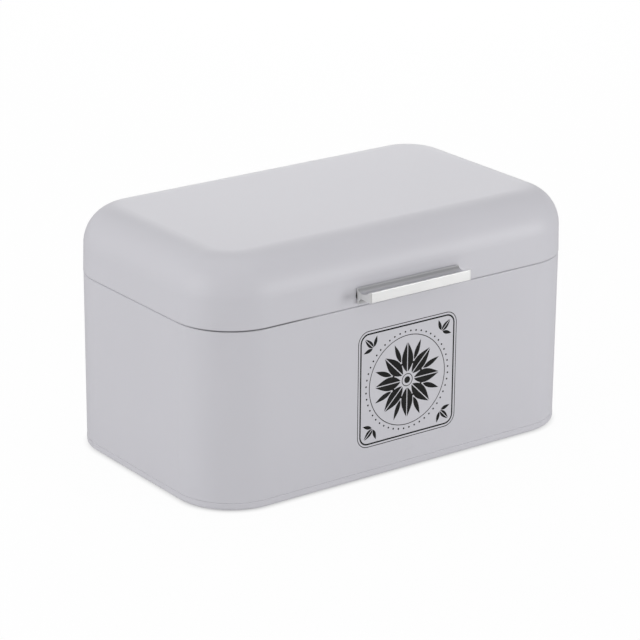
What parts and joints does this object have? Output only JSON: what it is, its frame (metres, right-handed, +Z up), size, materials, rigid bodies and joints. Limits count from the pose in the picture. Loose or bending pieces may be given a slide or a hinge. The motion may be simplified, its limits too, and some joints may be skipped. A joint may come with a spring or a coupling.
{
  "type": "bread box",
  "caption": "Sheet-steel bread box with rounded corners, a full-depth lid hinged along the back and an aluminium bar handle on the front of the lid.",
  "frame": {"origin": "on the counter, under the middle of the whole box with its handle and hinges", "axes": "+X to the right along the box's length, +Y to the back where the hinges are, +Z up"},
  "size_m": [0.3304, 0.2246, 0.1823],
  "materials": {
    "coated_steel": "satin pale grey powder coat",
    "handle_aluminium": "satin anodised",
    "black_pad": "matt",
    "plated_steel": "zinc plated",
    "foot_rubber": "matt"
  },
  "bodies": {
    "body": {"body_wall": "coated_steel", "base_pan": "coated_steel", "foot_front_left": "foot_rubber", "foot_front_right": "foot_rubber", "foot_rear_left": "foot_rubber", "foot_rear_right": "foot_rubber", "hinge_left_body_leaf": "plated_steel", "hinge_left_pin": "plated_steel", "hinge_left_body_rivets": "plated_steel", "hinge_right_body_leaf": "plated_steel", "hinge_right_pin": "plated_steel", "hinge_right_body_rivets": "plated_steel"},
    "lid": {"lid_shell": "coated_steel", "handle_bar": "handle_aluminium", "handle_pad": "black_pad", "handle_screws": "plated_steel", "hinge_left_lid_leaf": "plated_steel", "hinge_left_lid_rivets": "plated_steel", "hinge_right_lid_leaf": "plated_steel", "hinge_right_lid_rivets": "plated_steel"}
  },
  "joints": [
    {"name": "lid_hinge", "type": "hinge", "parent": "body", "child": "lid", "pos_m": [0, 0.1064, 0.13345], "axis": [-1, 0, 0], "range_deg": [0, 104]}
  ]
}
